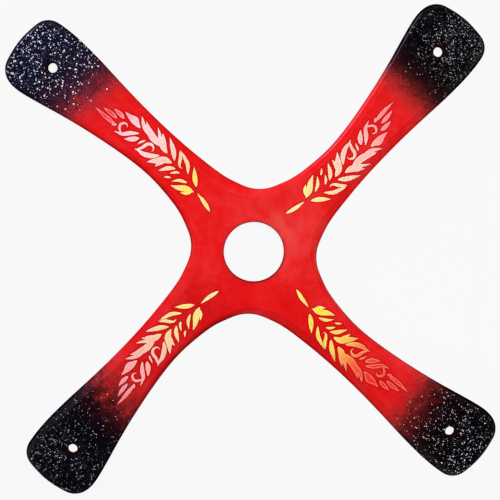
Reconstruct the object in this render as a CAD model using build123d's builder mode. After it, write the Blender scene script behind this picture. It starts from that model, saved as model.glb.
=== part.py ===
from build123d import *
import math
import os

# Four-blade boomerang of cross-laminated birch plywood: eight veneers glued in one pressing, then
# sawn to shape, drilled and sanded to a flying section on the front.
# Row frame in millimetres: origin at the centre of the big hole on the back face, +Z out of the
# painted front, arms along +X, +Y, -X and -Y.

# Sheet: one thickness for every veneer, listed from the back face up
PLY = 0.5
VENEERS = [
    "back_face_veneer",
    "back_crossband",
    "back_long_band",
    "back_core_veneer",
    "front_core_veneer",
    "front_long_band",
    "front_crossband",
    "front_face_veneer",
]
THICKNESS = PLY * len(VENEERS)

# Blades and holes
ARMS = 4
CENTRE_HOLE_RADIUS = 15.0
TIP_HOLE_RADIUS = 2.5
TIP_HOLE_CIRCLE_RADIUS = 133.3
HOLE_EDGE_ROUND = 0.3

# Shaped edges: the square edge left below the bevel, and how far the back corner is sanded in
SQUARE_EDGE = 2 * PLY
BACK_ROUND = 0.25

# Each kind of edge: bevel width, and roundness from 0 for a flat facet to 1 for a full nose
LEADING = (3.4, 1.0)
TRAILING = (4.4, 0.0)
TIP = (2.0, 0.8)
HOLLOW = (3.6, 0.5)


def between(first, second, share):
    """A kind of edge that is part of the way from one kind to another."""
    return tuple(a + (b - a) * share for a, b in zip(first, second))


# One arm's outline, counterclockwise. Each point is (out along the arm, across it towards the leading
# side, kind of edge). The corners and the hollow to the next arm are arcs given by three points.
TRAILING_SIDE = [
    (33.0, -18.3, TRAILING),
    (45.0, -16.6, TRAILING),
    (60.0, -15.7, TRAILING),
    (76.0, -15.6, TRAILING),
    (92.0, -16.2, TRAILING),
    (108.0, -17.4, TRAILING),
    (122.0, -18.5, TRAILING),
    (134.0, -18.85, between(TRAILING, TIP, 0.1)),
]
TRAILING_CORNER = [
    (146.0, -17.85, between(TRAILING, TIP, 0.35)),
    (151.1, -15.0, between(TRAILING, TIP, 0.7)),
    (153.3, -10.2, between(TRAILING, TIP, 0.95)),
]
TIP_EDGE = [(154.1, -3.0, TIP), (153.7, 5.0, TIP)]
LEADING_CORNER = [
    (152.2, 12.1, between(TIP, LEADING, 0.1)),
    (150.0, 16.2, between(TIP, LEADING, 0.45)),
    (145.5, 19.1, between(TIP, LEADING, 0.8)),
]
LEADING_SIDE = [
    (134.0, 18.8, LEADING),
    (120.0, 15.5, LEADING),
    (104.0, 12.0, LEADING),
    (88.0, 9.3, LEADING),
    (74.0, 7.6, LEADING),
    (62.0, 7.2, LEADING),
    (50.0, 8.4, LEADING),
    (39.0, 10.8, LEADING),
]
HOLLOW_ARC = [(30.75, 14.34, LEADING), (24.45, 19.1, HOLLOW), (20.44, 26.16, TRAILING)]
ARM_OUTLINE = TRAILING_SIDE + TRAILING_CORNER + TIP_EDGE + LEADING_CORNER + LEADING_SIDE + HOLLOW_ARC


def bevel_inset(height, edge_kind):
    """How far the edge stands inside the outline at a height above the back face."""
    width, roundness = edge_kind
    if height <= 0:
        return BACK_ROUND
    if height <= SQUARE_EDGE:
        return 0.0
    share = (height - SQUARE_EDGE) / (THICKNESS - SQUARE_EDGE)
    facet = share
    nose = 1 - math.sqrt(1 - share**2)
    return width * (facet + (nose - facet) * roundness)


def on_arm(point, arm):
    """A point of the arm outline, turned to one arm."""
    return Vector(point[0], point[1]).rotate(Axis.Z, arm * 360 / ARMS)


FULL_OUTLINE = Edge.make_spline(
    [on_arm(point, arm) for arm in range(ARMS) for point in ARM_OUTLINE], periodic=True
)


def inset_points(points, arm, height):
    """Outline points of one arm, moved in along the outline's normals by the bevel at one height."""
    moved = []
    for point in points:
        place = on_arm(point, arm)
        inward = FULL_OUTLINE.tangent_at(place).rotate(Axis.Z, 90)
        moved.append(place + inward * bevel_inset(height, point[2]))
    return moved


def draw_outline(height):
    """Draws the closed outline at one height in the current line builder, arm after arm."""
    hollows = [ThreePointArc(*inset_points(HOLLOW_ARC, arm, height)) for arm in range(ARMS)]
    for arm in range(ARMS):
        before = hollows[arm - 1]
        after = hollows[arm]
        trailing_corner = ThreePointArc(*inset_points(TRAILING_CORNER, arm, height))
        leading_corner = ThreePointArc(*inset_points(LEADING_CORNER, arm, height))
        for points, start, end in (
            (TRAILING_SIDE, before, trailing_corner),
            (TIP_EDGE, trailing_corner, leading_corner),
            (LEADING_SIDE, leading_corner, after),
        ):
            Spline(
                start @ 1,
                *inset_points(points, arm, height),
                end @ 0,
                tangents=(start % 1, end % 0),
                tangent_scalars=(1.0, 1.0),
            )


os.makedirs("parts", exist_ok=True)

for layer, name in enumerate(VENEERS):
    bottom = layer * PLY
    with BuildPart() as veneer:
        for height in (bottom, bottom + PLY):
            with BuildSketch(Plane.XY.offset(height)):
                with BuildLine():
                    draw_outline(height)
                make_face()
        loft(ruled=True)
        with Locations((0, 0, bottom + PLY)):
            Hole(CENTRE_HOLE_RADIUS, depth=PLY)
        with Locations((0, 0, bottom + PLY)):
            with PolarLocations(TIP_HOLE_CIRCLE_RADIUS, ARMS):
                Hole(TIP_HOLE_RADIUS, depth=PLY)
        if layer == 0:
            back_face = veneer.faces().sort_by(Axis.Z)[0]
            fillet(back_face.inner_wires().edges(), HOLE_EDGE_ROUND)
        if layer == len(VENEERS) - 1:
            front_face = veneer.faces().sort_by(Axis.Z)[-1]
            fillet(front_face.inner_wires().edges(), HOLE_EDGE_ROUND)
    veneer.part.label = name
    export_step(veneer.part, f"parts/{name}.step")
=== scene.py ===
"""A four-armed painted plywood boomerang lying face up on a pale floor.

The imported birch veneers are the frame. Round them goes the paint: a red coat whose tips fade to black,
a pale leaf spray on each arm, and white droplets on each tip. Plan geometry is worked out in millimetres,
with the front face up, and turned into metres when a mesh is made.
"""

import math
import random

import bpy
import numpy as np
from mathutils import Matrix, Vector, noise
from mathutils.bvhtree import BVHTree
from mathutils.geometry import delaunay_2d_cdt
from mathutils.kdtree import KDTree


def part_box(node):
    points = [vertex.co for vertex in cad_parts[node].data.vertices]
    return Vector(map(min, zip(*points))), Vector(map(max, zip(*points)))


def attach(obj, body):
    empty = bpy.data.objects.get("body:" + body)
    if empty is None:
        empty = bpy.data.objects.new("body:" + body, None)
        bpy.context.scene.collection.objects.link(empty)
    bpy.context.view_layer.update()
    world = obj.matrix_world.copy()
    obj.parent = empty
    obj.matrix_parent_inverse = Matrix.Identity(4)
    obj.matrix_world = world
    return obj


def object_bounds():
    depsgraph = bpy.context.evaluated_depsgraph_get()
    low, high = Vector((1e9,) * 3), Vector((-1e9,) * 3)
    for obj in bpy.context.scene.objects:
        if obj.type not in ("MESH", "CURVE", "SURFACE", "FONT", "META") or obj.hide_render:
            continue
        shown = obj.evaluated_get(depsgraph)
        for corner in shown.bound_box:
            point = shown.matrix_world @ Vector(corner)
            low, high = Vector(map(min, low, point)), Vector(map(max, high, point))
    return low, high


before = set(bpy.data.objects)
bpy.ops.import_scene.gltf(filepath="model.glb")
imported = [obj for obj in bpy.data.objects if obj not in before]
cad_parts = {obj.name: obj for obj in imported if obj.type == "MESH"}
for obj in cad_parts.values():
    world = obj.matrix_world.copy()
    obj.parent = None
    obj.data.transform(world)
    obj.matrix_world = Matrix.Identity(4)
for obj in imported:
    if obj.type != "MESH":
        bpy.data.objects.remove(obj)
CAD_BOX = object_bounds()

MM = 0.001
VENEERS = (
    "back_face_veneer",
    "back_crossband",
    "back_long_band",
    "back_core_veneer",
    "front_core_veneer",
    "front_long_band",
    "front_crossband",
    "front_face_veneer",
)
# The heights of the back, of the front and of the top of the square part of the edge, and how far in a
# round nose is at half of its height, as a share of its width.
BACK_HEIGHT = CAD_BOX[0].z / MM
FRONT_HEIGHT = CAD_BOX[1].z / MM
SQUARE_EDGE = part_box("back_crossband")[1].z / MM
HALF_NOSE = 1 - math.sqrt(0.75)

# The arms, by the row frame's axis that each one follows: its direction in degrees, how far its leaf
# spray is turned about its middle, and how far that is moved across and out along the arm.
ARMS = {
    "px": {"bearing": 0, "turn": 0.0, "move": (0.0, 0.0)},
    "py": {"bearing": 90, "turn": 1.3, "move": (0.6, 4.9)},
    "nx": {"bearing": 180, "turn": 2.1, "move": (-0.2, 1.4)},
    "ny": {"bearing": 270, "turn": 1.0, "move": (0.1, 3.4)},
}
# Where along an arm its spray turns, and how far across the arm's middle line lies.
SPRAY_MIDDLE = 60.0
ARM_MIDDLE = 4.0

# The leaves of a spray: the line each one follows from its root to its tip, in millimetres across and out
# along the arm, and its greatest width.
LEAVES = (
    (((-1.3, 24.6), (0.3, 29.8), (1.4, 35.3)), 1.9),
    (((0.7, 36.9), (-0.5, 40.6), (-2.9, 44.4), (-4.3, 47.8)), 3.0),
    (((0.0, 37.6), (-2.4, 39.6), (-3.9, 41.8)), 1.6),
    (((3.4, 37.6), (6.2, 41.0), (10.2, 44.9)), 2.3),
    (((2.0, 42.3), (0.4, 45.9), (-2.5, 48.7)), 1.5),
    (((-1.4, 50.0), (-2.3, 51.6), (-3.6, 53.0)), 0.9),
    (((3.3, 48.2), (1.9, 50.2), (-0.2, 51.8)), 1.2),
    (((3.5, 51.2), (1.2, 54.1), (-3.0, 57.0)), 2.0),
    (((4.4, 54.3), (3.2, 58.0), (0.4, 60.6), (-3.4, 64.1)), 3.2),
    (((2.8, 57.2), (0.4, 58.8), (-2.5, 59.5)), 1.8),
    (((3.2, 61.3), (0.2, 64.4), (-1.5, 68.0), (-1.8, 70.6), (-2.5, 73.0)), 2.4),
    (((-2.2, 72.0), (0.4, 70.3), (3.3, 69.5), (4.6, 67.7), (3.7, 65.6), (1.6, 65.6)), 1.5),
    (((4.2, 71.3), (2.3, 72.4), (0.2, 73.2)), 0.9),
    (((3.1, 74.3), (0.4, 76.6), (-2.2, 79.7)), 2.4),
    (((4.8, 75.8), (2.1, 79.1), (-0.7, 81.6), (-1.7, 83.8), (-2.5, 86.0)), 2.0),
    (((-1.0, 82.4), (0.2, 84.7), (2.2, 85.6), (4.0, 84.3), (3.8, 82.6), (2.8, 82.1)), 1.2),
    (((0.2, 87.0), (0.2, 90.8), (0.1, 95.0), (0.4, 100.5)), 1.9),
    (((0.7, 87.0), (-0.2, 88.2), (-1.0, 88.9)), 1.2),
    (((3.2, 88.8), (3.2, 92.6), (2.8, 97.3)), 1.9),
    (((5.4, 86.0), (5.8, 89.2), (5.8, 93.0)), 2.0),
    (((7.1, 77.1), (7.6, 80.8), (7.9, 84.0), (8.3, 87.9)), 2.8),
    (((7.6, 78.6), (9.1, 81.6), (9.0, 84.7)), 1.7),
    (((6.4, 59.2), (7.6, 62.7), (10.0, 64.9), (12.5, 67.2)), 3.1),
    (((6.4, 61.6), (8.2, 65.3), (10.8, 67.9), (13.1, 71.1)), 1.8),
    (((7.0, 63.6), (7.7, 69.6), (9.4, 73.8), (11.7, 77.3)), 3.4),
    (((7.0, 72.0), (9.2, 76.7), (12.2, 80.5)), 1.9),
    (((6.0, 54.1), (9.4, 57.8), (13.1, 63.4)), 2.4),
    (((5.4, 44.8), (8.8, 48.0), (10.1, 50.7), (11.0, 53.0), (11.7, 55.7)), 1.9),
    (((11.2, 55.2), (9.2, 53.0), (6.9, 51.6), (5.6, 50.2), (5.8, 48.6)), 1.6),
)

# How the red fades to black on each tip: where along the arm it is half black, how much farther in that is
# on the trailing side, how gradual the fade is and how much slower it ends than it starts, how ragged it is,
# and how blue and how misty the black is.
FADES = {
    "px": (107.4, 0.0, 2.6, 0.0, 2.5, 0.0, 1.0),
    "py": (108.0, 2.4, 2.7, 0.32, 4.0, 0.85, 0.9),
    "nx": (96.0, 1.0, 4.5, -0.3, 7.0, 0.12, 0.4),
    "ny": (107.8, -2.6, 2.7, 0.3, 4.5, 0.0, 0.35),
}
FADE_GRAIN = 8.0
# Half of an arm's width where it fades, how far out and across a tip may be painted, the value for no black
# at all, and where along the arm the mist begins and is at full strength.
FADE_HALF_WIDTH = 17.0
TIP_AREA = (50.0, 40.0)
NO_BLACK = -20.0
MIST_REACH = (114.0, 140.0)

# The paint along each arm's leading and trailing edge: how much painted shade darkens it, over how many
# millimetres, and over how many it is matte. Then the same for the hub, and the least matte width round the
# tips.
# On the nx arm's leading edge the darkening is also darker overspray.
EDGE_LOOKS = {
    "px": ((0.22, 1.2, 0.2), (0.35, 1.4, 0.9)),
    "py": ((0.5, 1.7, 1.2), (0.28, 1.3, 0.5)),
    "nx": ((0.65, 4.0, 1.3), (0.25, 1.4, 0.8)),
    "ny": ((0.4, 1.1, 0.4), (0.5, 1.8, 1.0)),
}
HUB_EDGE = (0.35, 1.3, 0.4)
TIP_MATTE = 1.1
# How much darker each whole arm is than the hub.
ARM_SHADES = {"px": 0.02, "py": 0.01, "nx": 0.17, "ny": 0.05}
# Where along an arm these looks take over from the hub's, and the tip's from theirs, and over how many
# millimetres; where the arm's middle line starts, and how wide the change from side to side is.
ARM_START, ARM_BLEND = 14.0, 24.0
TIP_START, TIP_BLEND = 108.0, 8.0
MIDDLE_START = 30.0
SIDE_BLEND = 8.0

# The white spatter on each tip: how many drops, their smallest and greatest width, how rare the large ones
# are, how strongly they clump, how much rarer they are towards the sides, and where along the arm they begin
# and are at full strength.
SPATTER = {
    "px": (860, (0.11, 0.38), 2.2, 0.5, 0.75, (110, 136)),
    "py": (800, (0.15, 0.8), 2.6, 0.2, 0.1, (104, 138)),
    "nx": (760, (0.11, 0.4), 2.2, 0.25, 0.35, (94, 140)),
    "ny": (780, (0.13, 0.54), 2.6, 0.2, 0.2, (102, 132)),
}
# How many places are tried, the chance of a drop where nothing makes it rarer, and the size of a clump.
DROPLET_TRIES = 60000
DROPLET_CHANCE = 0.55
CLUMP_SIZE = 4.0
# Where drops may land across and out along an arm, where across it they begin to be rarer and over how many
# millimetres, and how far they stay from a hole.
TIP_ACROSS = (-24, 22)
TIP_END = 153.5
SIDES_START, SIDES_BLEND = 6.0, 12.0
HOLE_CLEARANCE = 0.6
# A drop's height as a share of its radius, how far it is sunk into the coat, how much longer than wide and
# how uneven it may be, and the share of its radius and height at each ring of its points.
DROPLET_HEIGHT = 0.45
DROPLET_ROOT = 0.02
DROPLET_STRETCH = 0.35
DROPLET_WOBBLE = 0.14
DROPLET_SIDES = 7
DROPLET_RINGS = ((1.0, 0.0), (0.92, 0.35), (0.6, 0.8))
# Drops keep off the sides where these are steeper than this, as the height of the surface's direction.
DROPLET_STEEPEST = 0.72

# The stretch of an arm that the leaves' colours cover, and those colours along it, in the middle of a leaf
# and at its rim.
LEAF_SPAN = (20.0, 110.0)
LEAF_COLOURS = {
    "px": (
        ((28, 252, 236, 148), (39, 250, 238, 132), (50, 250, 214, 165), (62, 248, 208, 184),
         (76, 250, 186, 176), (85, 251, 150, 150), (98, 251, 126, 126)),
        ((28, 255, 240, 170), (42, 255, 236, 170), (60, 255, 222, 196), (76, 254, 206, 192),
         (86, 254, 168, 166), (98, 253, 140, 138)),
    ),
    "py": (
        ((33, 250, 231, 138), (46, 249, 232, 92), (53, 251, 212, 158), (62, 247, 203, 182),
         (72, 248, 212, 208), (87, 248, 200, 204), (93, 244, 96, 108), (99, 232, 34, 38)),
        ((33, 254, 236, 150), (46, 254, 230, 130), (60, 253, 216, 186), (76, 253, 224, 220),
         (88, 253, 206, 210), (99, 253, 130, 136)),
    ),
    "nx": (
        ((30, 252, 235, 178), (43, 248, 230, 118), (56, 250, 221, 145), (64, 247, 206, 164),
         (76, 247, 182, 170), (85, 247, 166, 164), (91, 248, 150, 152), (98, 246, 130, 136)),
        ((30, 254, 238, 188), (44, 253, 232, 150), (60, 252, 214, 172), (74, 251, 196, 180),
         (86, 252, 184, 178), (98, 250, 146, 150)),
    ),
    "ny": (
        ((32, 252, 232, 115), (45, 248, 232, 60), (61, 249, 218, 90), (67, 247, 172, 84),
         (74, 242, 104, 60), (82, 238, 58, 42), (90, 234, 34, 32), (98, 236, 44, 42)),
        ((32, 253, 234, 140), (48, 252, 228, 130), (62, 251, 214, 120), (74, 250, 150, 100),
         (86, 250, 120, 104), (98, 250, 122, 110)),
    ),
}
# How far in from a leaf's outline its rim's colour begins to give way, and where it is gone.
LEAF_RIM = (0.12, 0.6)

# The floor: its glow, how far it lies below the coat, so that the two never share a plane, and its rings
# of points, in metres.
FLOOR_GLOW = 0.865
FLOOR_GAP = 0.03
FLOOR_RINGS = (0.3, 1.0, 2.5, 6.0)
FLOOR_SIDES = 48
# How far the view is turned about the vertical, in degrees, and the camera's place and aim in millimetres
# from the middle of the front, as the camera sees them.
VIEW_TURN = 47.397
CAMERA_PLACE = (-20.0, 66.0, 748.0)
CAMERA_AIM = (-1.95, 1.05, 0.0)
LENS, SENSOR = 109.62, 36.0
CAMERA_RANGE = (0.01, 50)
# Each light's name, place as the camera sees it in metres, width, power, colour, and whether it shows in
# reflections.
LIGHTS = (
    ("overhead_softbox", (0.06, 0.22, 1.2), 1.0, 14.4, (1.0, 1.0, 1.0), False),
    ("window_light", (-0.98, 0.98, 0.22), 0.5, 10.6, (0.72, 0.66, 1.0), True),
)
# How bright the room is by the height of the direction looked in, from the horizon at 0 to overhead at 1.
ROOM = ((0.0, 0.5), (0.2, 0.34), (0.45, 0.24), (0.8, 0.2), (0.93, 0.02))
# How much of that there is on the side away from the window and on the window's side.
ROOM_SIDES = (0.85, 1.15)
WINDOW_SIDE = (-0.4, 0.92, 0.0)

# Below 1, this moves the widest place of a leaf towards its root.
LEAF_SWELL = 0.8

# The coat's thickness, and the spacing of its points along the outline, over the front, beside leaves and
# over the back, and how far beside leaves reaches.
COAT = 0.14
OUTLINE_STEP = 0.7
COARSE_STEP = 1.15
FINE_STEP = 0.5
BACK_STEP = 3.0
FINE_REACH = 1.6
# How far points stay from rings, as a share of their spacing, and the hub's and the arms' extents.
SPACING = 0.6
HUB_REACH = 50.0
ARM_REACH = 24.0
# Where along an arm its spray may be, how far across, and the greatest distance from a leaf that counts.
SPRAY_REACH = (15.0, 115.0)
SPRAY_HALF_WIDTH = 20.0
GAP_REACH = 9.0
# The shares of the bevel's height at which the coat has a ring of points, and the width of the level band
# inside the last one.
BEVEL_SHARES = (0.0, 0.1, 0.2, 0.32, 0.44, 0.56, 0.67, 0.77, 0.85, 0.91, 0.955, 0.985, 1.0)
FLAT_MARGIN = 0.35
# Reading the veneers: how closely heights agree, the spacing of the points of the sawn edge and of a level,
# how far a level may lie outside the outline, and how far its smooth curve may stray inwards.
SAME_HEIGHT = 0.01
SAWN_STEP = 0.1
LEVEL_STEP = 0.3
LEVEL_OUTSIDE = 0.3
LEVEL_SLACK = 0.1
# The rounded corner of the back and of each hole's rims: insets or widenings, each with its height.
BACK_CORNER = ((0.4, 0.0), (0.25, 0.0), (0.1, 0.06), (0.02, 0.2), (0.0, 0.5))
HOLE_RIM = ((0.7, 0.0), (0.3, 0.0), (0.16, 0.03), (0.05, 0.12), (0.0, 0.3))
HOLE_WALL_RINGS = 5
HOLE_LEAST_SIDES = 36
# Round a hole: how far the hub's matte edge and the wall's painted shade reach, how far outward a tip hole's
# dark crescent lies, where it begins to fade, and over how many millimetres. The crescent is partly painted
# shade, partly dirt.
HOLE_REACH = 2.0
WALL_REACH = 0.15
CRESCENT_SHIFT = 0.8
CRESCENT_START, CRESCENT_BLEND = 0.15, 0.9
# How strongly the lacquer shines, and its matte edge.
SHINE, MATTE = 0.14, 0.0
# A faint pale haze beside the centre hole: its middle in the row frame, and its size.
HAZE_PLACE = (14.0, -2.0)
HAZE_SIZE = 15.0
SEED = 20
# The height from which places on the coat are looked up.
DROP_FROM = 30
# The leaf films: how far they stand on the coat and reach into it, their rims' share of that height and how
# far in it is whole, the spacing of their outlines and of the points inside, how far these stay from the
# outlines, and the widest angle between faces that looks smooth.
FILM_LIFT = 0.045
FILM_ROOT = 0.04
FILM_RIM_SHARE = 0.4
FILM_SHOULDER = 0.3
LEAF_OUTLINE_STEP = 0.3
LEAF_STEP = 0.42
LEAF_MARGIN = 0.18
FILM_FLATNESS = 0.2


def to_row(points, bearing):
    """Arm points, across to the right and out along the arm, as row frame x and y."""
    a = math.radians(bearing)
    p = np.asarray(points, float)
    out = np.array((math.cos(a), math.sin(a)))
    right = np.array((math.sin(a), -math.cos(a)))
    return p[:, 1:2] * out + p[:, 0:1] * right


def to_arm(points, bearing):
    """Row frame x and y as arm points, across to the right and out along the arm."""
    a = math.radians(bearing)
    p = np.asarray(points, float)
    out = p[:, 0] * math.cos(a) + p[:, 1] * math.sin(a)
    across = p[:, 0] * math.sin(a) - p[:, 1] * math.cos(a)
    return np.stack((across, out), axis=1)


def smoothstep(x):
    """0 below 0, 1 above 1, and a smooth rise between."""
    x = np.clip(x, 0, 1)
    return x * x * (3 - 2 * x)


def lengths(vectors):
    """The length of each of the vectors."""
    return np.linalg.norm(vectors, axis=1)


def runs(points):
    """How far along a polyline each of its points is."""
    return np.concatenate(((0,), np.cumsum(lengths(np.diff(points, axis=0)))))


def nearest(points, targets):
    """Each point's distance to the nearest of the targets, in plan."""
    tree = KDTree(len(targets))
    for i, t in enumerate(targets):
        tree.insert((t[0], t[1], 0), i)
    tree.balance()
    return np.array([tree.find((p[0], p[1], 0))[2] for p in points])


def inside(points, loop, chunk=4000):
    """Which of the points lie inside a closed loop."""
    a, b = loop, np.roll(loop, -1, 0)
    rise = np.where(b[:, 1] == a[:, 1], 1e-12, b[:, 1] - a[:, 1])
    found = []
    for start in range(0, len(points), chunk):
        x, y = points[start:start + chunk, 0:1], points[start:start + chunk, 1:2]
        spans = (a[:, 1] > y) != (b[:, 1] > y)
        crossing = a[:, 0] + (y - a[:, 1]) * (b[:, 0] - a[:, 0]) / rise
        found.append((spans & (x < crossing)).sum(1) % 2 == 1)
    return np.concatenate(found) if found else np.zeros(0, bool)


def cap_loops(node, height):
    """The closed loops round a CAD node's flat face at one height, the longest first."""
    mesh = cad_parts[node].data
    co = np.array([v.co for v in mesh.vertices]) / MM
    spots, weld = np.unique(np.round(co, 3), axis=0, return_inverse=True)
    weld = weld.ravel()
    edges = set()
    for p in mesh.polygons:
        corners = list(p.vertices)
        if all(abs(co[i][2] - height) < SAME_HEIGHT for i in corners):
            for a, b in zip(corners, corners[1:] + corners[:1]):
                a, b = int(weld[a]), int(weld[b])
                if (b, a) in edges:
                    edges.remove((b, a))
                else:
                    edges.add((a, b))
    following = dict(sorted(edges))
    loops = []
    while following:
        at, loop = min(following), []
        while at in following:
            loop.append(at)
            at = following.pop(at)
        loops.append(spots[loop][:, :2])
    return sorted(loops, key=lambda p: -lengths(p - np.roll(p, 1, 0)).sum())


def counterclockwise(points):
    """The loop's points in counterclockwise order."""
    x, y = points[:, 0], points[:, 1]
    area = (x * np.roll(y, -1) - np.roll(x, -1) * y).sum()
    return points if area > 0 else points[::-1]


def smooth_loop(points, step):
    """Points about a step apart on a smooth closed curve through a loop's points."""
    ahead = np.roll(points, -1, 0) - points
    gap = lengths(ahead)[:, None]
    slope = ahead / gap
    before, gap_before = np.roll(slope, 1, 0), np.roll(gap, 1, 0)
    tangent = (before * gap + slope * gap_before) / (gap + gap_before)
    places = []
    for i in range(len(points)):
        j = (i + 1) % len(points)
        t = np.arange(max(1, round(float(gap[i, 0]) / step)))[:, None]
        t = t / len(t)
        p0, p1, m0, m1 = points[i], points[j], tangent[i] * gap[i], tangent[j] * gap[i]
        places.append(
            (2 * t**3 - 3 * t**2 + 1) * p0 + (t**3 - 2 * t**2 + t) * m0
            + (3 * t**2 - 2 * t**3) * p1 + (t**3 - t**2) * m1
        )
    return np.concatenate(places)


def evenly(points, step):
    """A closed polyline's points at one even step."""
    closed = np.vstack((points, points[:1]))
    run = runs(closed)
    at = np.linspace(0, run[-1], round(run[-1] / step), endpoint=False)
    return np.stack([np.interp(at, run, closed[:, k]) for k in (0, 1)], axis=1)


def inward(loop):
    """The unit directions into a counterclockwise loop at its points."""
    along = np.roll(loop, -1, 0) - np.roll(loop, 1, 0)
    along = along / lengths(along)[:, None]
    return np.stack((-along[:, 1], along[:, 0]), axis=1)


def insets(loop, into, other):
    """How far along the inward directions another closed loop is met."""
    a, b = other, np.roll(other, -1, 0)
    d = b - a
    found = np.full(len(loop), np.inf)
    for i, (p, n) in enumerate(zip(loop, into)):
        cross = n[0] * d[:, 1] - n[1] * d[:, 0]
        cross = np.where(abs(cross) < 1e-12, 1e-12, cross)
        w = a - p
        reach = (w[:, 0] * d[:, 1] - w[:, 1] * d[:, 0]) / cross
        share = (w[:, 0] * n[1] - w[:, 1] * n[0]) / cross
        hits = reach[(share >= -1e-6) & (share <= 1 + 1e-6) & (reach > -LEVEL_OUTSIDE)]
        if len(hits):
            found[i] = hits.min()
    return found


def hex_grid(low, high, step):
    """Points of a triangular grid over a rectangle."""
    rows = np.arange(low[1], high[1], step * math.sqrt(0.75))
    columns = np.arange(low[0], high[0], step)
    return np.array([(x + (k % 2) * step / 2, y) for k, y in enumerate(rows) for x in columns])


def read_holes():
    """The centre and radius of each hole, from the loops in a middle veneer."""
    found = []
    for loop in cap_loops("back_long_band", SQUARE_EDGE)[1:]:
        centre = (loop.min(0) + loop.max(0)) / 2
        found.append((centre, float(lengths(loop - centre).max())))
    return found


def smooth_line(points, steps=12):
    """Points on a smooth open curve through the given ones."""
    p = np.asarray(points, float)
    p = np.vstack((2 * p[0] - p[1], p, 2 * p[-1] - p[-2]))
    t = np.linspace(0, 1, steps, endpoint=False)[:, None]
    spans = [
        0.5 * (2 * b + (c - a) * t + (2 * a - 5 * b + 4 * c - d) * t**2 + (3 * b - a - 3 * c + d) * t**3)
        for a, b, c, d in zip(p, p[1:], p[2:], p[3:])
    ]
    return np.vstack((*spans, p[-2:-1]))


def leaf_outline(line, width):
    """The closed outline of a leaf along a line: pointed at both ends, and widest nearer to its root."""
    spine = smooth_line(line)
    along = np.gradient(spine, axis=0)
    along /= lengths(along)[:, None]
    side = np.stack((-along[:, 1], along[:, 0]), axis=1)
    run = runs(spine)
    half = width / 2 * np.sin(np.pi * (run / run[-1]) ** LEAF_SWELL)
    left, right = spine + side * half[:, None], spine - side * half[:, None]
    return evenly(np.vstack((right[:-1], left[:0:-1])), LEAF_OUTLINE_STEP)


def place_spray(outlines, arm):
    """The leaf outlines turned and moved to where an arm has them, still as arm points."""
    t = math.radians(arm["turn"])
    spin = np.array(((math.cos(t), math.sin(t)), (-math.sin(t), math.cos(t))))
    middle = np.array((0.0, SPRAY_MIDDLE))
    return [(o - middle) @ spin + middle + np.array(arm["move"]) for o in outlines]


def read_bevel(outline, into):
    """A function that gives the shaped edge's inset, at each point of the outline, at a share of its height.
    It is read from the veneers, and stays outside them."""
    shares, found = [0.0], [np.zeros(len(outline))]
    for node in VENEERS:
        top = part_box(node)[1].z / MM
        if top > SQUARE_EDGE + SAME_HEIGHT:
            shares.append((top - SQUARE_EDGE) / (FRONT_HEIGHT - SQUARE_EDGE))
            loop = counterclockwise(cap_loops(node, top)[0])
            smooth, straight = (insets(outline, into, p) for p in (smooth_loop(loop, LEVEL_STEP), loop))
            lowest = np.minimum(smooth, straight + LEVEL_SLACK)
            found.append(np.min([np.roll(lowest, k) for k in range(-2, 3)], axis=0))
    width, half = found[-1], found[len(found) // 2]
    roundness = (0.5 - half / width) / (0.5 - HALF_NOSE)

    def ideal(share):
        nose = 1 - math.sqrt(max(0.0, 1 - share * share))
        return width * (share + (nose - share) * roundness)

    rest = [measured - ideal(share) for share, measured in zip(shares, found)]

    def inset(share):
        k = min(len(shares) - 2, int(np.searchsorted(shares, share, "right")) - 1)
        t = (share - shares[k]) / (shares[k + 1] - shares[k])
        return ideal(share) + rest[k] * (1 - t) + rest[k + 1] * t

    return inset


def fill(rings, interior):
    """Triangles over the flat region inside the first ring and outside the others, which are round holes.
    Their corners count through the rings and the interior points in turn."""
    points = [Vector(p) for p in np.vstack((*(ring[:, :2] for ring in rings), interior))]
    edges, start = [], 0
    for ring in rings:
        ids = list(range(start, start + len(ring)))
        edges += list(zip(ids, ids[1:] + ids[:1]))
        start += len(ring)
    whole = [list(range(len(rings[0])))]
    _, _, faces, origins, _, owners = delaunay_2d_cdt(points, edges, whole, 0, 1e-7, True)
    ring_of = np.repeat(range(len(rings)), [len(ring) for ring in rings])
    ring_of = np.concatenate((ring_of, np.zeros(len(interior), int)))
    kept = []
    for face, owned in zip(faces, owners):
        ids = [origins[i][0] for i in face]
        a, b, c = (ring_of[i] for i in ids)
        if owned and not a == b == c > 0:
            kept.append(ids)
    return kept


def circle(centre, radius, count):
    """Points round a circle, counterclockwise."""
    a = np.linspace(0, 2 * np.pi, count, endpoint=False)[:, None]
    return np.asarray(centre) + radius * np.hstack((np.cos(a), np.sin(a)))


def new_mesh(name, points_mm, faces, smooth=True):
    """A mesh object from points in millimetres."""
    mesh = bpy.data.meshes.new(name)
    mesh.from_pydata((np.asarray(points_mm) * MM).tolist(), [], faces)
    mesh.validate()
    mesh.update()
    if smooth:
        mesh.shade_smooth()
    obj = bpy.data.objects.new(name, mesh)
    bpy.context.scene.collection.objects.link(obj)
    return obj


def give(obj, **numbers):
    """Stores numbers for each vertex, by name, for a material to read."""
    for name, values in numbers.items():
        attribute = obj.data.attributes.new(name, "FLOAT", "POINT")
        attribute.data.foreach_set("value", np.asarray(values, np.float32))


def swell(points, faces, amount):
    """The points moved out along their smooth normals by an amount."""
    normals = np.zeros_like(points)
    for size in (3, 4):
        group = np.array([f for f in faces if len(f) == size])
        if len(group):
            a, b, c = points[group[:, 0]], points[group[:, 1]], points[group[:, 2]]
            d = points[group[:, -1]]
            normal = np.cross(b - a, c - a) if size == 3 else np.cross(c - a, d - b)
            for k in range(size):
                np.add.at(normals, group[:, k], normal)
    return points + normals / lengths(normals)[:, None] * amount


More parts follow.
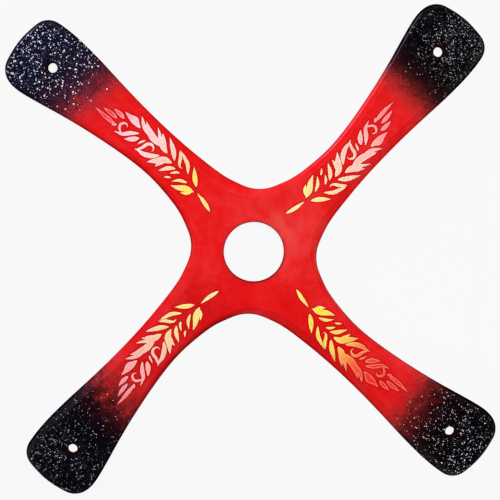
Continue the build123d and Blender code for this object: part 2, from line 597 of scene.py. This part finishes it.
def leaf_gaps(points, sprays, reach):
    """Each point's distance in plan to the nearest leaf: 0 on a leaf, and no more than a given reach."""
    gaps = np.full(len(points), reach)
    for arm, outlines in zip(ARMS.values(), sprays):
        here = to_arm(points, arm["bearing"])
        along = (here[:, 1] > SPRAY_REACH[0]) & (here[:, 1] < SPRAY_REACH[1])
        near = np.where(along & (abs(here[:, 0]) < SPRAY_HALF_WIDTH))[0]
        gap = np.minimum(nearest(here[near], np.vstack(outlines)), reach)
        for outline in outlines:
            low, high = outline.min(0), outline.max(0)
            boxed = np.where(((here[near] > low) & (here[near] < high)).all(1))[0]
            gap[boxed[inside(here[near][boxed], outline)]] = 0
        gaps[near] = gap
    return gaps


def belt(a, b, count):
    """The faces between two rings of points, by the numbers that the rings start at."""
    return [(a + i, a + (i + 1) % count, b + (i + 1) % count, b + i) for i in range(count)]


def side_rings(outline):
    """The coat's rings of points from the back's corner up the shaped edge to the front."""
    into = inward(outline)
    bevel_inset = read_bevel(outline, into)
    section = list(BACK_CORNER)
    section += [(bevel_inset(s), SQUARE_EDGE + (FRONT_HEIGHT - SQUARE_EDGE) * s) for s in BEVEL_SHARES]
    section.append((bevel_inset(1.0) + FLAT_MARGIN, FRONT_HEIGHT))
    level = np.ones((len(outline), 1))
    return [
        np.hstack((outline + into * (level * np.reshape(inset, (-1, 1))), level * z)) for inset, z in section
    ]


def hole_rings(centre, radius):
    """The coat's rings of points from a hole's rim on the back to its rim on the front."""
    sides = max(HOLE_LEAST_SIDES, round(2 * math.pi * radius / OUTLINE_STEP))
    corner = HOLE_RIM[-1][1]
    wall = [(0.0, z) for z in np.linspace(corner, FRONT_HEIGHT - corner, HOLE_WALL_RINGS)[1:-1]]
    section = [*HOLE_RIM, *wall, *((grow, FRONT_HEIGHT - z) for grow, z in reversed(HOLE_RIM))]
    return [
        np.hstack((circle(centre, radius + grow, sides), np.full((sides, 1), z))) for grow, z in section
    ]


def make_coat(outline, sprays):
    """The red coat of paint: one closed skin just outside the veneers, with its holes."""
    rings, count = side_rings(outline), len(outline)
    points, faces = list(rings), []
    for k in range(len(rings) - 1):
        faces += belt(k * count, (k + 1) * count, count)
    used = len(rings) * count
    backs, fronts = [], []
    for centre, radius in read_holes():
        loops = hole_rings(centre, radius)
        sides = len(loops[0])
        for k in range(len(loops) - 1):
            faces += belt(used + (k + 1) * sides, used + k * sides, sides)
        backs.append((centre, radius, loops[0], used))
        fronts.append((centre, radius, loops[-1], used + (len(loops) - 1) * sides))
        points += loops
        used += len(loops) * sides
    for flipped, ring, first, holes, z, interior in (
        (True, rings[0], 0, backs, BACK_HEIGHT, interior_points(rings[0], backs, [], BACK_STEP)),
        (False, rings[-1], (len(rings) - 1) * count, fronts, FRONT_HEIGHT,
         interior_points(rings[-1], fronts, sprays, COARSE_STEP)),
    ):
        ids = list(range(first, first + count))
        for _, _, loop, start in holes:
            ids += range(start, start + len(loop))
        ids += range(used, used + len(interior))
        for face in fill([ring] + [h[2] for h in holes], interior):
            face = [ids[i] for i in face]
            faces.append(tuple(reversed(face)) if flipped else tuple(face))
        points.append(np.hstack((interior, np.full((len(interior), 1), z))))
        used += len(interior)
    points = swell(np.vstack(points), faces, COAT)
    return new_mesh("paint_coat", points, faces), points


def interior_points(ring, holes, sprays, step):
    """Points over the flat region inside a ring, closer together round the leaves."""
    edge = ring[:, :2]
    low, high = edge.min(0), edge.max(0)
    grids = [(hex_grid(low, high, step), step, False)]
    if sprays:
        grids.append((hex_grid(low, high, FINE_STEP), FINE_STEP, True))
    found = []
    for grid, pitch, fine in grids:
        r = lengths(grid)
        grid = grid[(r < HUB_REACH) | (abs(grid).min(1) < ARM_REACH)]
        if sprays:
            gap = leaf_gaps(grid, sprays, GAP_REACH)
            near = (gap > 0) & (gap < FINE_REACH)
            grid = grid[near if fine else ~near]
        grid = grid[inside(grid, edge)]
        for centre, radius, _, _ in holes:
            rim = radius + HOLE_RIM[0][0]
            grid = grid[lengths(grid - centre) > rim + pitch * SPACING]
        found.append(grid[nearest(grid, edge) > pitch * SPACING])
    return np.vstack(found)


def surface_of(points_mm, obj):
    """A lookup of an object's surface, in millimetres, for laying other pieces on it."""
    faces = [tuple(p.vertices) for p in obj.data.polygons]
    return BVHTree.FromPolygons([Vector(p) for p in points_mm], faces)


def drop(surface, xy):
    """Where a straight fall onto the front meets the surface, and the surface's direction there."""
    place, normal, _, _ = surface.ray_cast(Vector((*xy, DROP_FROM)), Vector((0, 0, -1)))
    return place, normal


def film_plan(outlines):
    """The corners, faces and rim edges of the flat triangles that fill the leaf outlines."""
    everything = np.vstack(outlines)
    grid = hex_grid(everything.min(0), everything.max(0), LEAF_STEP)
    grid = grid[np.any([inside(grid, outline) for outline in outlines], axis=0)]
    grid = grid[nearest(grid, everything) > LEAF_MARGIN]
    loops, start = [], 0
    for outline in outlines:
        loops.append(list(range(start, start + len(outline))))
        start += len(outline)
    corners = [Vector(p) for p in np.vstack((everything, grid))]
    verts, _, faces, _, _, owners = delaunay_2d_cdt(corners, [], loops, 0, 1e-5, True)
    faces = [f for f, own in zip(faces, owners) if own]
    used = sorted({i for f in faces for i in f})
    number = {v: k for k, v in enumerate(used)}
    faces = [tuple(number[i] for i in f) for f in faces]
    directed = {(a, b) for f in faces for a, b in zip(f, f[1:] + f[:1])}
    rim = sorted((a, b) for a, b in directed if (b, a) not in directed)
    return np.array([tuple(verts[i]) for i in used]), faces, rim


def make_leaves(name, arm, outlines, surface):
    """The pale leaf spray of one arm: a thin closed film of paint on the coat."""
    here, faces, rim = film_plan(outlines)
    starts, ends = (here[[edge[k] for edge in rim]] for k in (0, 1))
    inset = nearest(here, np.vstack([starts * (1 - s) + ends * s for s in (0, 0.33, 0.67)]))
    xy = to_row(here, arm["bearing"])
    height = np.array([drop(surface, p)[0].z for p in xy])
    rise = FILM_RIM_SHARE + (1 - FILM_RIM_SHARE) * smoothstep(inset / FILM_SHOULDER)
    count = len(here)
    top = np.column_stack((xy, height + FILM_LIFT * rise))
    solid = faces + [tuple(i + count for i in reversed(f)) for f in faces]
    solid += [(b, a, a + count, b + count) for a, b in rim]
    points = np.vstack((top, np.column_stack((xy, height - FILM_ROOT))))
    obj = new_mesh(f"leaf_stencil_{name}", points, solid)
    obj.data.set_sharp_from_angle(angle=FILM_FLATNESS)
    give(obj, leaf_inset=np.tile(inset, 2), leaf_out=np.tile(here[:, 1], 2))
    return obj


def add_droplet(points, faces, place, axes, radius, stretch, rng):
    """Adds the points and faces of one closed drop: rings from its foot up, and a point on top."""
    base, sides = len(points), DROPLET_SIDES
    wobble = [1 + DROPLET_WOBBLE * rng.uniform(-1, 1) for _ in range(sides)]
    height = radius * DROPLET_HEIGHT
    for share, rise in DROPLET_RINGS:
        for k in range(sides):
            a = math.tau * k / sides
            r = radius * share * wobble[k]
            spot = Vector((r * stretch * math.cos(a), r * math.sin(a), height * rise - DROPLET_ROOT))
            points.append(place + axes @ spot)
    points.append(place + axes @ Vector((0, 0, height - DROPLET_ROOT)))
    faces.append(tuple(reversed(range(base, base + sides))))
    last = base + (len(DROPLET_RINGS) - 1) * sides
    for ring in range(base, last, sides):
        faces += belt(ring, ring + sides, sides)
    faces += [(last + k, last + (k + 1) % sides, last + sides) for k in range(sides)]


def make_droplets(name, arm, surface, holes):
    """The white spatter on one tip: small drops of paint that stand on the coat, denser in loose clumps."""
    rng = random.Random(f"{SEED}-{name}")
    points, faces, shades = [], [], []
    count, (small, large), rarity, clumping, sides, (first, full) = SPATTER[name]
    bare = [(c * (1 + CRESCENT_SHIFT / (np.linalg.norm(c) + 1)), r + HOLE_CLEARANCE) for c, r in holes]
    made = 0
    for _ in range(DROPLET_TRIES):
        if made == count:
            break
        across, out = rng.uniform(*TIP_ACROSS), rng.uniform(first, TIP_END)
        chance = float(smoothstep((out - first) / (full - first)))
        off_middle = abs(across - ARM_MIDDLE) - SIDES_START
        chance *= 1 - sides * float(smoothstep(off_middle / SIDES_BLEND))
        clump = noise.noise(Vector((across, out, arm["bearing"])) / CLUMP_SIZE)
        radius = 0.5 * (small + (large - small) * rng.random() ** rarity)
        keep, turn = rng.random(), rng.uniform(0, math.tau)
        stretch = 1 + DROPLET_STRETCH * rng.random() ** 2
        if keep > chance * (DROPLET_CHANCE + clumping * clump):
            continue
        xy = to_row([(across, out)], arm["bearing"])[0]
        place, up = drop(surface, xy)
        if place is None or up.z < DROPLET_STEEPEST:
            continue
        if any(np.linalg.norm(xy - middle) < reach + radius for middle, reach in bare):
            continue
        side = up.orthogonal().normalized()
        axes = Matrix((side, up.cross(side), up)).transposed() @ Matrix.Rotation(turn, 3, "Z")
        before = len(points)
        add_droplet(points, faces, place, axes, radius, stretch, rng)
        shades += [rng.random()] * (len(points) - before)
        made += 1
    obj = new_mesh(f"white_spatter_{name}", points, faces)
    give(obj, drop_shade=shades)
    return obj


def srgb(red, green, blue):
    """A colour as it looks on screen, 0 to 255, as a linear colour."""
    def one(c):
        c /= 255
        return c / 12.92 if c <= 0.04045 else ((c + 0.055) / 1.055) ** 2.4

    return (one(red), one(green), one(blue), 1.0)


# The lacquer: its clouds of red, the reds of its grain and beside leaves, the red of painted shade along
# edges, the pale haze, the tips' blacks, the dust and specks in them, the painted shade on a hole's wall, and
# a tip hole's dark crescent.
REDS = (srgb(219, 6, 8), srgb(227, 20, 22), srgb(232, 40, 41))
GRAIN_RED, LEAF_SHADE, EDGE_SHADE_RED = srgb(185, 6, 10), srgb(166, 0, 2), srgb(64, 0, 4)
PALE = srgb(255, 222, 208)
BLACK, BLUE_BLACK = srgb(5, 3, 5), srgb(12, 14, 38)
DUST, GREY = srgb(198, 182, 174), srgb(158, 154, 164)
SHADED_WALL_RED, CRESCENT_BROWN = srgb(104, 6, 8), srgb(26, 6, 5)
# The red of worn leaves, the drops' whites, the birch inside and on the painted faces, and the floor.
WORN_RED = srgb(226, 60, 44)
WHITES = (srgb(190, 190, 205), srgb(238, 238, 246), srgb(252, 252, 255))
BIRCH_TONES = (srgb(222, 196, 158), srgb(196, 160, 118))
PRIMER_TONES = (srgb(196, 34, 30), srgb(150, 18, 18))
FLOOR_TONES = ((0.07, 0.07, 0.07, 1), (0.08, 0.08, 0.08, 1))


def set_ramp(band, stops):
    """Gives a colour ramp its stops, each a position and a colour."""
    while len(band.elements) < len(stops):
        band.elements.new(0.5)
    for element, (position, colour) in zip(band.elements, stops):
        element.position, element.color = position, colour


class Paint:
    """A material in the making, with short ways to add its nodes. Positions in it are in millimetres."""

    def __init__(self, name):
        self.material = bpy.data.materials.new(name)
        self.material.use_nodes = True
        self.tree = self.material.node_tree
        self.shader = self.tree.nodes["Principled BSDF"]
        coordinates = self.add("ShaderNodeTexCoord")
        scaled = self.add("ShaderNodeVectorMath", operation="SCALE")
        scaled.inputs["Scale"].default_value = 1 / MM
        self.join(coordinates.outputs["Object"], scaled.inputs[0])
        self.place = scaled.outputs[0]

    def add(self, kind, **settings):
        made = self.tree.nodes.new(kind)
        for key, value in settings.items():
            setattr(made, key, value)
        return made

    def join(self, source, target):
        """Sets an input from another node's output, or from a plain value."""
        if isinstance(source, bpy.types.NodeSocket):
            self.tree.links.new(source, target)
        else:
            target.default_value = source

    def stretched(self, x, y, z):
        """Positions stretched by a factor along each axis, for grain."""
        made = self.add("ShaderNodeVectorMath", operation="MULTIPLY")
        self.join(self.place, made.inputs[0])
        made.inputs[1].default_value = (x, y, z)
        return made.outputs[0]

    def noise(self, size, detail=2.0, rough=0.5, place=None, distort=0.0):
        """Noise with features of about a size in millimetres."""
        made = self.add("ShaderNodeTexNoise")
        self.join(place or self.place, made.inputs["Vector"])
        made.inputs["Scale"].default_value = 1 / size
        made.inputs["Detail"].default_value = detail
        made.inputs["Roughness"].default_value = rough
        made.inputs["Distortion"].default_value = distort
        return made.outputs["Fac"]

    def math(self, operation, a, b=0.0):
        made = self.add("ShaderNodeMath", operation=operation)
        self.join(a, made.inputs[0])
        self.join(b, made.inputs[1])
        return made.outputs[0]

    def times(self, a, b):
        return self.math("MULTIPLY", a, b)

    def plus(self, a, b):
        return self.math("ADD", a, b)

    def wander(self, amount, size, detail=2.0, rough=0.5):
        """Noise that strays to both sides of 0, by up to about half of an amount."""
        return self.times(self.math("SUBTRACT", self.noise(size, detail, rough), 0.5), amount)

    def uneven(self, low, spread, value):
        """A roughness that rises from a low one through a spread with a value."""
        return self.plus(self.times(value, spread), low)

    def scale(self, value, low, high, to_low=0.0, to_high=1.0, kind="SMOOTHSTEP"):
        """A value carried from one range to another, smoothly unless told otherwise, and held at its ends."""
        made = self.add("ShaderNodeMapRange", interpolation_type=kind)
        for key, v in zip(("From Min", "From Max", "To Min", "To Max"), (low, high, to_low, to_high)):
            self.join(v, made.inputs[key])
        self.join(value, made.inputs["Value"])
        return made.outputs[0]

    def ramp(self, value, *stops):
        made = self.add("ShaderNodeValToRGB")
        self.join(value, made.inputs[0])
        set_ramp(made.color_ramp, stops)
        return made.outputs[0]

    def mix(self, share, a, b):
        made = self.add("ShaderNodeMix", data_type="RGBA")
        self.join(share, made.inputs["Factor"])
        self.join(a, made.inputs["A"])
        self.join(b, made.inputs["B"])
        return made.outputs["Result"]

    def read(self, name):
        """A number stored on the mesh for each vertex."""
        return self.add("ShaderNodeAttribute", attribute_name=name).outputs["Fac"]

    def bump(self, *layers):
        """Relief from layers of height, each with its depth in millimetres."""
        normal = None
        for height, depth in layers:
            made = self.add("ShaderNodeBump")
            made.inputs["Distance"].default_value = depth * MM
            self.join(height, made.inputs["Height"])
            if normal:
                self.join(normal, made.inputs["Normal"])
            normal = made.outputs["Normal"]
        self.join(normal, self.shader.inputs["Normal"])

    def finish(self, colour, roughness, **fixed):
        self.join(colour, self.shader.inputs["Base Color"])
        self.join(roughness, self.shader.inputs["Roughness"])
        for key, value in fixed.items():
            self.shader.inputs[key.replace("_", " ")].default_value = value
        return self.material


def fine_dots(p):
    """Specks too small to stand on the surface, each with its own strength, in two spacings and sizes."""
    layers = []
    for spacing, widest in ((0.75, 0.3), (1.3, 0.24)):
        dots = p.add("ShaderNodeTexVoronoi")
        p.join(p.place, dots.inputs["Vector"])
        dots.inputs["Scale"].default_value = 1 / spacing
        strength = p.add("ShaderNodeSeparateColor")
        p.join(dots.outputs["Color"], strength.inputs[0])
        dot = p.scale(dots.outputs["Distance"], widest * 0.4, widest, 1.0, 0.0)
        layers.append(p.times(dot, p.math("POWER", strength.outputs[0], 2.5)))
    return p.times(p.math("MAXIMUM", *layers), p.scale(p.noise(2.5, 2), 0.35, 0.6, 0.15, 1.0))


def clouded_red(p):
    """The red ground: cloudy and grainy, hazy beside the hub, darker round leaves, darker on some arms, and
    darkened by painted shade at edges.
    """
    cloud = p.plus(p.times(p.noise(24, 3), 0.65), p.times(p.noise(4, 3), 0.35))
    red = p.ramp(cloud, *zip((0.34, 0.5, 0.66), REDS))
    red = p.mix(p.scale(p.noise(0.7, 2, 0.6), 0.35, 0.65, 0.0, 0.08), red, GRAIN_RED)
    haze = p.times(p.read("hub_haze"), p.scale(p.noise(6, 3), 0.3, 0.7, 0.02, 0.07))
    red = p.mix(haze, red, PALE)
    red = p.mix(p.scale(p.read("leaf_gap"), 0.1, 1.2, 0.5, 0.0), red, LEAF_SHADE)
    # Painted shade along the edges and round the centre hole, with each arm's own darkening.
    return p.mix(p.read("edge_shade"), red, EDGE_SHADE_RED)


def tip_fade(p):
    """The shares of black and of red in a tip's fade, with fine grain and coarse raggedness."""
    grain = p.plus(p.wander(FADE_GRAIN, 0.5, 2, 0.65), p.wander(p.read("tip_ragged"), 4.5, 3, 0.6))
    reach = p.plus(p.read("tip_reach"), grain)
    red = p.math("DIVIDE", 1.0, p.plus(p.math("EXPONENT", reach), 1.0))
    return p.math("SUBTRACT", 1.0, red), red


def coat_paint(name, shine):
    """The sprayed lacquer: clouded red that fades to a spattered black on the tips."""
    p = Paint(name)
    ground = clouded_red(p)
    black, red = tip_fade(p)
    colour = p.mix(black, ground, p.mix(p.read("tip_blue"), BLACK, BLUE_BLACK))
    dust = p.times(p.times(black, red), p.scale(p.noise(0.6, 2, 0.6), 0.4, 0.7, 0.01, 0.26))
    colour = p.mix(dust, colour, DUST)
    misty = p.times(p.times(black, p.read("tip_mist")), p.scale(p.read("edge_shiny"), -0.5, 0.5))
    colour = p.mix(p.times(fine_dots(p), misty), colour, GREY)
    # Painted shade on the red walls of the holes.
    colour = p.mix(p.read("hole_wall"), colour, SHADED_WALL_RED)
    # A dark crescent outward of each tip hole: partly painted shade, partly dirt.
    colour = p.mix(p.times(p.read("hole_stain"), 0.95), colour, CRESCENT_BROWN)
    p.bump((p.noise(1.4, 2), 0.015), (p.noise(0.6, 3, place=p.stretched(0.08, 1, 1)), 0.01))
    return p.finish(colour, p.uneven(0.21, 0.14, p.noise(2.5, 3)), Specular_IOR_Level=shine)


def leaf_paint(name, cores, edges):
    """Stencilled paint of one arm's leaves: a core colour and a rim colour that change along the arm."""
    p = Paint(f"leaf_paint_{name}")
    out = p.plus(p.scale(p.read("leaf_out"), *LEAF_SPAN, kind="LINEAR"), p.wander(0.05, 4))
    core, rim = p.ramp(out, *placed(cores)), p.ramp(out, *placed(edges))
    depth = p.plus(p.read("leaf_inset"), p.wander(0.6, 1.2))
    colour = p.mix(p.scale(depth, *LEAF_RIM), rim, core)
    worn = p.times(p.scale(p.noise(0.9, 3, 0.7), 0.44, 0.66, 0.0, 0.24), p.scale(depth, 0.1, 0.5))
    colour = p.mix(worn, colour, WORN_RED)
    p.bump((p.noise(0.7, 2), 0.015))
    return p.finish(colour, p.uneven(0.4, 0.15, p.noise(2, 2)), Specular_IOR_Level=0.4)


def placed(stops):
    """Ramp stops whose places are given in millimetres along the arm."""
    low, high = LEAF_SPAN
    return [((out - low) / (high - low), srgb(*colour)) for out, *colour in stops]


def droplet_paint():
    """White paint of the spatter, a little different from drop to drop."""
    p = Paint("white_spatter_paint")
    shade = p.plus(p.read("drop_shade"), p.wander(0.4, 0.4))
    p.bump((p.noise(0.3, 2), 0.01))
    return p.finish(p.ramp(shade, *zip((0.0, 0.4, 1.0), WHITES)), p.uneven(0.4, 0.1, shade))


def birch(name, along_x, base, dark):
    """Peeled birch veneer, with its grain along one axis of the row."""
    p = Paint(name)
    place = p.stretched(*((0.03, 1.0, 1.0) if along_x else (1.0, 0.03, 1.0)))
    broad, fine = p.noise(3.0, 4, 0.6, place, 0.4), p.noise(0.35, 3, 0.7, place)
    figure = p.plus(p.times(broad, 0.6), p.times(fine, 0.4))
    pale = tuple(min(1, c * 1.12) for c in base)
    p.bump((fine, 0.03))
    return p.finish(p.ramp(figure, (0.3, dark), (0.5, base), (0.75, pale)), p.uneven(0.5, 0.2, fine))


def dress(obj, material):
    """Gives an object one material in all of its slots."""
    if not obj.material_slots:
        obj.data.materials.append(material)
    for place in obj.material_slots:
        place.material = material
    for polygon in obj.data.polygons:
        polygon.material_index = 0


def dull_edges(coat):
    """Gives the coat's second, matte material to the faces that lie wholly inside its matte bands."""
    shiny = coat.data.attributes["edge_shiny"].data
    for polygon in coat.data.polygons:
        polygon.material_index = int(max(shiny[i].value for i in polygon.vertices) < 0)


def arm_edges(points, run):
    """How deep the edge's painted shade is and how wide its matte band is at points this far from the
    outline.
    """
    shade, matte = np.zeros(len(points)), np.full(len(points), HUB_EDGE[2])
    for name, arm in ARMS.items():
        across, out = to_arm(points[:, :2], arm["bearing"]).T
        mine = out >= abs(across - ARM_MIDDLE * (out > MIDDLE_START))
        own = smoothstep((out - ARM_START) / ARM_BLEND)[:, None]
        side = smoothstep((across - ARM_MIDDLE) / SIDE_BLEND + 0.5)[:, None]
        leading, trailing = (np.array(s) for s in EDGE_LOOKS[name])
        look = np.array(HUB_EDGE) * (1 - own) + (leading * (1 - side) + trailing * side) * own
        tip = smoothstep((out - TIP_START) / TIP_BLEND)
        matte[mine] = np.maximum(look[:, 2], TIP_MATTE * tip)[mine]
        # Painted shade along the edge, and each arm's own darkening.
        band = look[:, 0] * smoothstep(1 - run / look[:, 1])
        shade[mine] = np.maximum(band, ARM_SHADES[name] * own[:, 0])[mine]
    return shade, matte


def mark_edges(coat, points, outline, holes):
    """Stores on the coat how far past its matte band each point is, how deep the painted shade is there, how
    much of a hole's wall it is, how much of the dark crescent outward of a tip hole, and how much of the
    haze."""
    run = nearest(points, outline)
    shade, matte = arm_edges(points, run)
    wall, stain = np.zeros(len(points)), np.zeros(len(points))
    for centre, radius in holes:
        away = lengths(points[:, :2] - centre) - radius
        near = away < HOLE_REACH
        run[near], matte[near] = np.maximum(away, 0)[near], HUB_EDGE[2]
        # How much of a hole's wall each point is, for its painted shade.
        wall = np.maximum(wall, smoothstep(1 - away / WALL_REACH))
        if np.linalg.norm(centre) > 1:
            # The dark crescent outward of a tip hole: partly painted shade, partly dirt.
            shifted = centre + centre / np.linalg.norm(centre) * CRESCENT_SHIFT
            away = lengths(points[:, :2] - shifted) - radius
            stain = np.maximum(stain, smoothstep(1 - (away - CRESCENT_START) / CRESCENT_BLEND))
        else:
            # Painted shade round the centre hole's rim.
            shade = np.maximum(shade, HUB_EDGE[0] * smoothstep(1 - away / HUB_EDGE[1]))
    haze = np.exp(-(lengths(points[:, :2] - HAZE_PLACE) / HAZE_SIZE) ** 2)
    give(coat, edge_shiny=run - matte, edge_shade=shade, hole_wall=wall, hole_stain=stain, hub_haze=haze)


def paint_tips(coat, points):
    """Stores on the coat how far each point is into the fade of its tip, and the fade's look there."""
    reach, ragged = np.full(len(points), NO_BLACK), np.zeros(len(points))
    blue, mist = np.zeros(len(points)), np.zeros(len(points))
    for name, arm in ARMS.items():
        middle, trailing, gradual, tail, coarse, tint, mistiness = FADES[name]
        across, out = to_arm(points[:, :2], arm["bearing"]).T
        mine = (out > TIP_AREA[0]) & (abs(across) < TIP_AREA[1])
        line = middle - trailing * (across - ARM_MIDDLE) / FADE_HALF_WIDTH
        far = (out - line) / gradual
        far = np.where(far > 1, 1 + (far - 1) * (1 - tail), far)
        misty = mistiness * smoothstep((out - MIST_REACH[0]) / (MIST_REACH[1] - MIST_REACH[0]))
        reach[mine], mist[mine] = far[mine], misty[mine]
        ragged[mine], blue[mine] = coarse, tint
    give(coat, tip_reach=reach, tip_ragged=ragged, tip_blue=blue, tip_mist=mist)


def in_view(x, y, z):
    """Row frame coordinates of what the view has this far to the right, up and towards the camera."""
    a = math.radians(VIEW_TURN)
    return Vector((x * math.cos(a) + y * math.sin(a), y * math.cos(a) - x * math.sin(a), z))


def aim(obj, place, target, up):
    """Puts an object at a place, with its -Z at the target."""
    back = (place - target).normalized()
    right = up.cross(back).normalized()
    turned = Matrix((right, back.cross(right), back)).transposed()
    obj.matrix_world = Matrix.Translation(place) @ turned.to_4x4()
    bpy.context.scene.collection.objects.link(obj)


def make_floor(height):
    """A wide pale floor. It glows, as a backlit studio sweep does, so that shadows on it stay faint."""
    points = [(0, 0, height)]
    for r in FLOOR_RINGS:
        points += [(x, y, height) for x, y in circle((0, 0), r / MM, FLOOR_SIDES)]
    faces = [(0, 1 + i, 1 + (i + 1) % FLOOR_SIDES) for i in range(FLOOR_SIDES)]
    for k in range(1, 1 + (len(FLOOR_RINGS) - 1) * FLOOR_SIDES, FLOOR_SIDES):
        faces += belt(k + FLOOR_SIDES, k, FLOOR_SIDES)
    floor = new_mesh("studio_floor", points, faces, smooth=False)
    p = Paint("pale_studio_floor")
    tone = p.ramp(p.noise(400), *zip((0.3, 0.7), FLOOR_TONES))
    p.finish(tone, 0.9, Specular_IOR_Level=0.0, Emission_Color=(1, 1, 1, 1), Emission_Strength=FLOOR_GLOW)
    dress(floor, p.material)


def make_lights():
    """A large soft light overhead, and a low window on the view's upper left."""
    for name, place, size, power, colour, mirrored in LIGHTS:
        data = bpy.data.lights.new(name, "AREA")
        data.shape, data.size, data.energy, data.color = "DISK", size, power, colour
        light = bpy.data.objects.new(name, data)
        light.visible_glossy = mirrored
        aim(light, in_view(*place), Vector((0, 0, 0)), Vector((0.1, 0, 1)))


def make_room():
    """The room in reflections: dark straight overhead, and brighter on the window's side."""
    world = bpy.data.worlds.new("studio_room")
    bpy.context.scene.world = world
    world.use_nodes = True
    nodes, links = world.node_tree.nodes, world.node_tree.links
    direction = nodes.new("ShaderNodeTexCoord")
    split = nodes.new("ShaderNodeSeparateXYZ")
    ramp = nodes.new("ShaderNodeValToRGB")
    links.new(direction.outputs["Generated"], split.inputs[0])
    links.new(split.outputs["Z"], ramp.inputs[0])
    set_ramp(ramp.color_ramp, [(height, (tone, tone, tone, 1)) for height, tone in ROOM])
    links.new(ramp.outputs[0], nodes["Background"].inputs["Color"])
    facing = nodes.new("ShaderNodeVectorMath")
    facing.operation = "DOT_PRODUCT"
    facing.inputs[1].default_value = in_view(*WINDOW_SIDE)
    links.new(direction.outputs["Generated"], facing.inputs[0])
    side = nodes.new("ShaderNodeMapRange")
    for key, value in zip(("From Min", "From Max", "To Min", "To Max"), (-1.0, 1.0, *ROOM_SIDES)):
        side.inputs[key].default_value = value
    links.new(facing.outputs["Value"], side.inputs["Value"])
    links.new(side.outputs[0], nodes["Background"].inputs["Strength"])


def make_camera():
    """The camera, almost straight above the front face."""
    data = bpy.data.cameras.new("view_camera")
    data.lens, data.sensor_width = LENS, SENSOR
    data.clip_start, data.clip_end = CAMERA_RANGE
    camera = bpy.data.objects.new("view_camera", data)
    middle = Vector((0, 0, FRONT_HEIGHT))
    place, target = (middle + in_view(*CAMERA_PLACE)) * MM, (middle + in_view(*CAMERA_AIM)) * MM
    aim(camera, place, target, in_view(0, 1, 0))
    bpy.context.scene.camera = camera


outlines = [leaf_outline(*leaf) for leaf in LEAVES]
sprays = [place_spray(outlines, arm) for arm in ARMS.values()]
sawn_edge = counterclockwise(cap_loops("back_long_band", SQUARE_EDGE)[0])
outline = evenly(smooth_loop(sawn_edge, SAWN_STEP), OUTLINE_STEP)
coat, coat_points = make_coat(outline, sprays)
coat_surface = surface_of(coat_points, coat)
front = coat_points[:, 2] > SQUARE_EDGE
gap = np.full(len(coat_points), GAP_REACH)
gap[front] = leaf_gaps(coat_points[front][:, :2], sprays, GAP_REACH)
give(coat, leaf_gap=gap)
holes = read_holes()
mark_edges(coat, coat_points, outline, holes)
paint_tips(coat, coat_points)
dress(coat, coat_paint("red_and_black_lacquer", SHINE))
coat.data.materials.append(coat_paint("matte_edge_lacquer", MATTE))
dull_edges(coat)
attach(coat, "root")

for (name, arm), spray in zip(ARMS.items(), sprays):
    leaf_film = make_leaves(name, arm, spray, coat_surface)
    dress(leaf_film, leaf_paint(name, *LEAF_COLOURS[name]))
    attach(leaf_film, "root")
white = droplet_paint()
for name, arm in ARMS.items():
    spatter = make_droplets(name, arm, coat_surface, holes)
    dress(spatter, white)
    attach(spatter, "root")

for k, node in enumerate(VENEERS):
    tones = PRIMER_TONES if k in (0, len(VENEERS) - 1) else BIRCH_TONES
    dress(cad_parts[node], birch(f"birch_of_{node}", k % 2 == 0, *tones))

make_floor(float(coat_points[:, 2].min()) - FLOOR_GAP)
make_lights()
make_room()
make_camera()
bpy.context.scene.view_settings.view_transform = "Standard"
